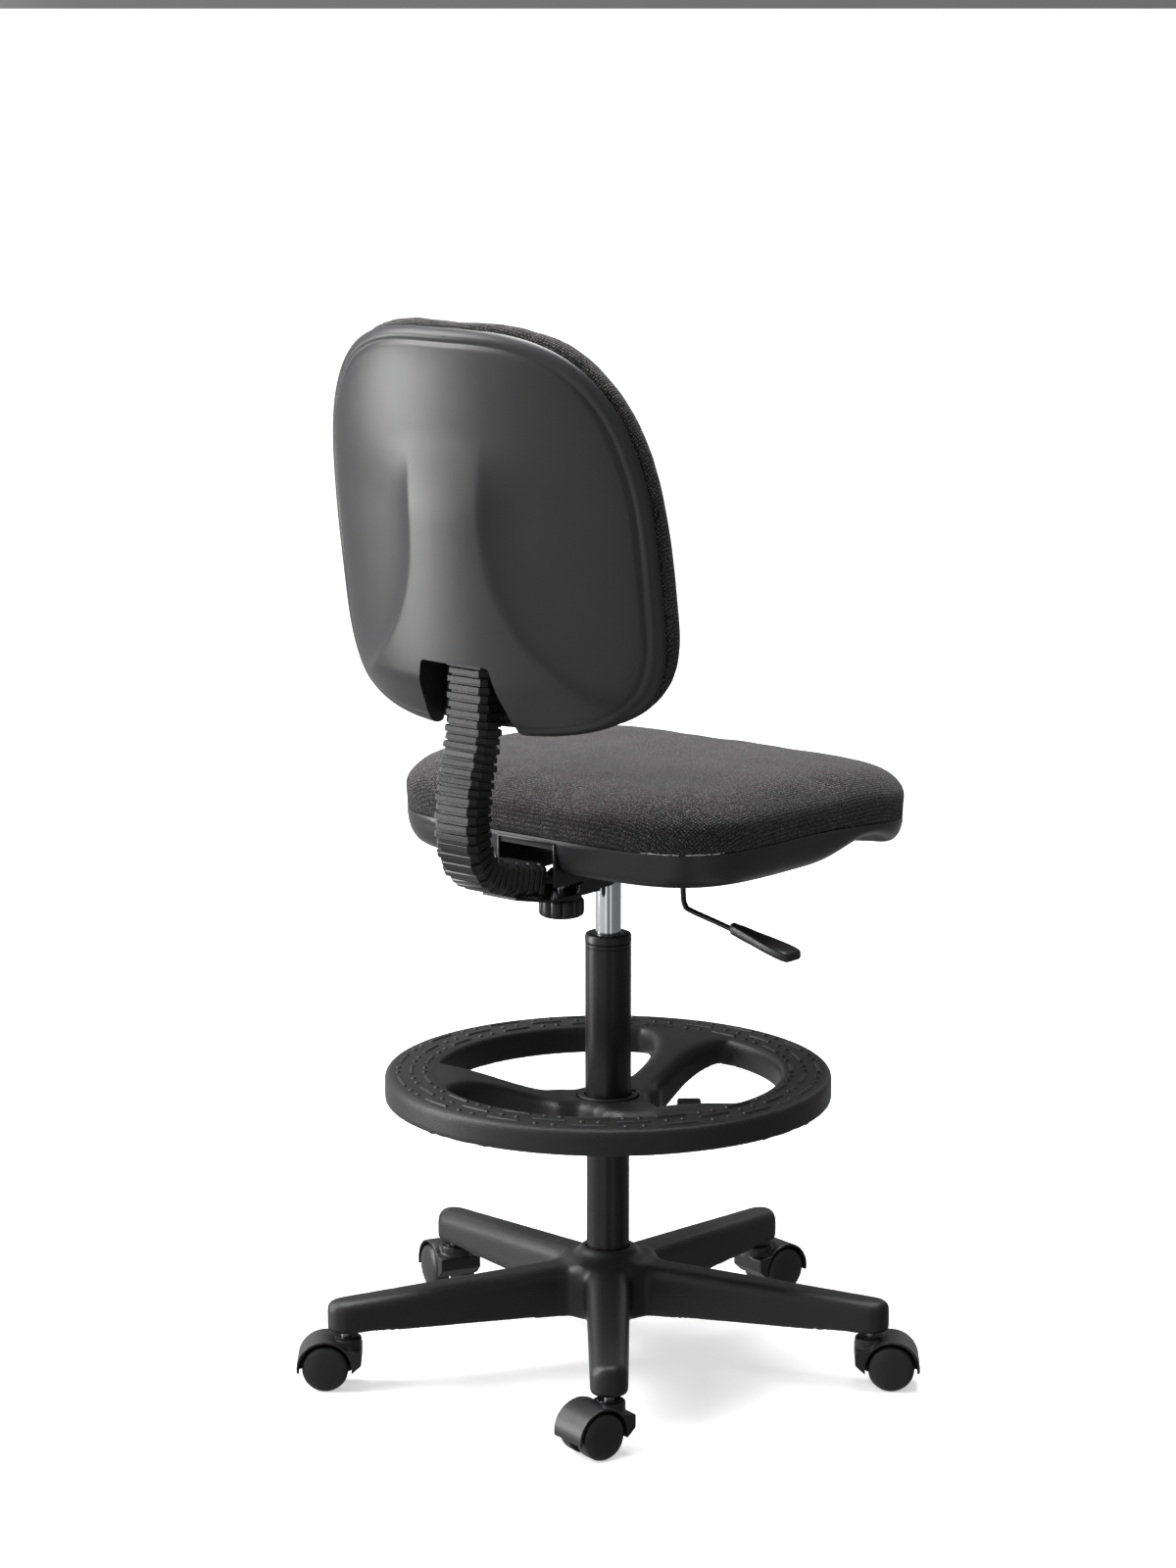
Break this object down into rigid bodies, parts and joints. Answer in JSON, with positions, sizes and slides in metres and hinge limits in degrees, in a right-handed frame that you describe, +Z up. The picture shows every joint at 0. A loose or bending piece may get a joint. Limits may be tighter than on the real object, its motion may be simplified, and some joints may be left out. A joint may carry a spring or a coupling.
{
  "type": "drafting chair",
  "caption": "Armless drafting chair: padded seat and back on a tall gas lift, ringed by a spoked foot rest, on a star base with twin-wheel casters; a ribbed bellows hides the back's bar.",
  "frame": {"origin": "on the floor, under the middle of the chair's bounding box", "axes": "+Z up; the sitter faces -Y, so the backrest is towards +Y; +X is the sitter's left"},
  "size_m": [0.6785, 0.6581, 1.1603],
  "materials": {
    "base_nylon": "grained glass-filled nylon, matte",
    "column_steel": "satin black powder coat",
    "cap_plastic": "satin",
    "chrome": "polished",
    "bright_steel": "zinc plated, satin",
    "rubber": "matte",
    "caster_nylon": "satin",
    "ring_plastic": "grained, matte",
    "shell_plastic": "fine grained, satin",
    "fabric": "woven, matte",
    "seat_plywood": "bare plywood",
    "bellows_plastic": "satin",
    "mechanism_steel": "satin black powder coat",
    "knob_plastic": "satin"
  },
  "bodies": {
    "base": {"star_base": "base_nylon", "stand_tube": "column_steel", "guide_bush": "cap_plastic", "thrust_bearing": "bright_steel", "caster_stem_1": "bright_steel", "caster_stem_2": "bright_steel", "caster_stem_3": "bright_steel", "caster_stem_4": "bright_steel", "caster_stem_5": "bright_steel"},
    "caster_1": {"caster_hood_1": "caster_nylon", "caster_axle_1": "bright_steel"},
    "caster_1_left_wheel": {"wheel_left_1": "caster_nylon"},
    "caster_1_right_wheel": {"wheel_right_1": "caster_nylon"},
    "caster_2": {"caster_hood_2": "caster_nylon", "caster_axle_2": "bright_steel"},
    "caster_2_left_wheel": {"wheel_left_2": "caster_nylon"},
    "caster_2_right_wheel": {"wheel_right_2": "caster_nylon"},
    "caster_3": {"caster_hood_3": "caster_nylon", "caster_axle_3": "bright_steel"},
    "caster_3_left_wheel": {"wheel_left_3": "caster_nylon"},
    "caster_3_right_wheel": {"wheel_right_3": "caster_nylon"},
    "caster_4": {"caster_hood_4": "caster_nylon", "caster_axle_4": "bright_steel"},
    "caster_4_left_wheel": {"wheel_left_4": "caster_nylon"},
    "caster_4_right_wheel": {"wheel_right_4": "caster_nylon"},
    "caster_5": {"caster_hood_5": "caster_nylon", "caster_axle_5": "bright_steel"},
    "caster_5_left_wheel": {"wheel_left_5": "caster_nylon"},
    "caster_5_right_wheel": {"wheel_right_5": "caster_nylon"},
    "ring_clamp": {"ring_sleeve": "cap_plastic"},
    "foot_rest": {"foot_ring": "ring_plastic"},
    "ring_lock": {"ring_lock_knob": "knob_plastic", "ring_lock_stud": "bright_steel"},
    "lift_rod": {"piston_rod": "chrome", "rod_clip": "bright_steel", "bump_rubber": "rubber"},
    "seat": {"gas_cylinder": "chrome", "taper_socket": "mechanism_steel", "seat_plate": "mechanism_steel", "seat_shell": "shell_plastic", "seat_board": "seat_plywood", "seat_cushion": "fabric", "seat_bolt_1": "bright_steel", "seat_bolt_2": "bright_steel", "seat_bolt_3": "bright_steel", "seat_bolt_4": "bright_steel", "pivot_pin": "bright_steel", "tilt_spring": "bright_steel"},
    "valve": {"valve_pin": "bright_steel"},
    "gas_lever": {"lever_rod": "mechanism_steel", "lever_paddle": "knob_plastic"},
    "tilt_arm": {"tilt_bracket": "mechanism_steel"},
    "bar_lock": {"bar_knob": "knob_plastic", "bar_stud": "bright_steel"},
    "back_upright": {"back_bar": "mechanism_steel", "bellows": "bellows_plastic"},
    "backrest": {"back_shell": "shell_plastic", "back_board": "shell_plastic", "back_cushion": "fabric", "back_carrier": "knob_plastic"}
  },
  "joints": [
    {"name": "caster_swivel_1", "type": "hinge", "parent": "base", "child": "caster_1", "pos_m": [-0.19791, 0.25151, 0.06], "axis": [0, 0, 1], "continuous": true},
    {"name": "wheel_left_roll_1", "type": "hinge", "parent": "caster_1", "child": "caster_1_left_wheel", "pos_m": [-0.19221, 0.27277, 0.025], "axis": [-0.9659, 0.2588, 0], "continuous": true},
    {"name": "wheel_right_roll_1", "type": "hinge", "parent": "caster_1", "child": "caster_1_right_wheel", "pos_m": [-0.19221, 0.27277, 0.025], "axis": [-0.9659, 0.2588, 0], "continuous": true},
    {"name": "caster_swivel_2", "type": "hinge", "parent": "base", "child": "caster_2", "pos_m": [-0.28237, -0.08726, 0.06], "axis": [0, 0, 1], "continuous": true},
    {"name": "wheel_left_roll_2", "type": "hinge", "parent": "caster_2", "child": "caster_2_left_wheel", "pos_m": [-0.29971, -0.1008, 0.025], "axis": [0.6157, -0.788, 0], "continuous": true},
    {"name": "wheel_right_roll_2", "type": "hinge", "parent": "caster_2", "child": "caster_2_right_wheel", "pos_m": [-0.29971, -0.1008, 0.025], "axis": [0.6157, -0.788, 0], "continuous": true},
    {"name": "caster_swivel_3", "type": "hinge", "parent": "base", "child": "caster_3", "pos_m": [0.01372, -0.27228, 0.06], "axis": [0, 0, 1], "continuous": true},
    {"name": "wheel_left_roll_3", "type": "hinge", "parent": "caster_3", "child": "caster_3_left_wheel", "pos_m": [0.00914, -0.2938, 0.025], "axis": [0.9781, -0.2079, 0], "continuous": true},
    {"name": "wheel_right_roll_3", "type": "hinge", "parent": "caster_3", "child": "caster_3_right_wheel", "pos_m": [0.00914, -0.2938, 0.025], "axis": [0.9781, -0.2079, 0], "continuous": true},
    {"name": "caster_swivel_4", "type": "hinge", "parent": "base", "child": "caster_4", "pos_m": [0.28118, -0.04785, 0.06], "axis": [0, 0, 1], "continuous": true},
    {"name": "wheel_left_roll_4", "type": "hinge", "parent": "caster_4", "child": "caster_4_left_wheel", "pos_m": [0.30112, -0.05715, 0.025], "axis": [0.4226, 0.9063, 0], "continuous": true},
    {"name": "wheel_right_roll_4", "type": "hinge", "parent": "caster_4", "child": "caster_4_right_wheel", "pos_m": [0.30112, -0.05715, 0.025], "axis": [0.4226, 0.9063, 0], "continuous": true},
    {"name": "caster_swivel_5", "type": "hinge", "parent": "base", "child": "caster_5", "pos_m": [0.15039, 0.27587, 0.06], "axis": [0, 0, 1], "continuous": true},
    {"name": "wheel_left_roll_5", "type": "hinge", "parent": "caster_5", "child": "caster_5_left_wheel", "pos_m": [0.16699, 0.2903, 0.025], "axis": [-0.6561, 0.7547, 0], "continuous": true},
    {"name": "wheel_right_roll_5", "type": "hinge", "parent": "caster_5", "child": "caster_5_right_wheel", "pos_m": [0.16699, 0.2903, 0.025], "axis": [-0.6561, 0.7547, 0], "continuous": true},
    {"name": "ring_height", "type": "slide", "parent": "base", "child": "ring_clamp", "axis": [0, 0, 1], "range_m": [0, 0.1]},
    {"name": "ring_turn", "type": "hinge", "parent": "ring_clamp", "child": "foot_rest", "pos_m": [-0.007, 0.024, 0.28], "axis": [0, 0, 1], "continuous": true},
    {"name": "ring_lock_turn", "type": "hinge", "parent": "foot_rest", "child": "ring_lock", "pos_m": [-0.05296, -0.01457, 0.279], "axis": [-0.766, -0.6428, 0], "range_deg": [-360, 0]},
    {"name": "seat_swivel", "type": "hinge", "parent": "base", "child": "lift_rod", "pos_m": [-0.007, 0.024, 0.3], "axis": [0, 0, 1], "continuous": true},
    {"name": "seat_height", "type": "slide", "parent": "lift_rod", "child": "seat", "axis": [0, 0, 1], "range_m": [-0.03, 0.2]},
    {"name": "lever_lift", "type": "hinge", "parent": "seat", "child": "gas_lever", "pos_m": [-0.029, 0.024, 0.592], "axis": [0, 1, 0], "range_deg": [0, 8], "stiffness_Nm_per_rad": 2, "springref_deg": -8.59},
    {"name": "valve_press", "type": "slide", "parent": "seat", "child": "valve", "axis": [0, 0, -1], "range_m": [0, 0.0032]},
    {"name": "back_tilt", "type": "hinge", "parent": "seat", "child": "tilt_arm", "pos_m": [-0.007, 0.054, 0.551], "axis": [-1, 0, 0], "range_deg": [0, 12], "stiffness_Nm_per_rad": 70, "springref_deg": -20.05},
    {"name": "bar_lock_turn", "type": "hinge", "parent": "tilt_arm", "child": "bar_lock", "pos_m": [-0.007, 0.102, 0.52], "axis": [0, 0, 1], "range_deg": [0, 360]},
    {"name": "back_depth", "type": "slide", "parent": "tilt_arm", "child": "back_upright", "axis": [0, 0.9806, 0.1961], "range_m": [0, 0.02]},
    {"name": "back_height", "type": "slide", "parent": "back_upright", "child": "backrest", "axis": [0, 0.1392, 0.9903], "range_m": [0, 0.06], "deforming": ["bellows"]}
  ],
  "couplings": [
    {"joint": "valve_press", "follows": "lever_lift", "m_per_rad": 0.0215}
  ]
}
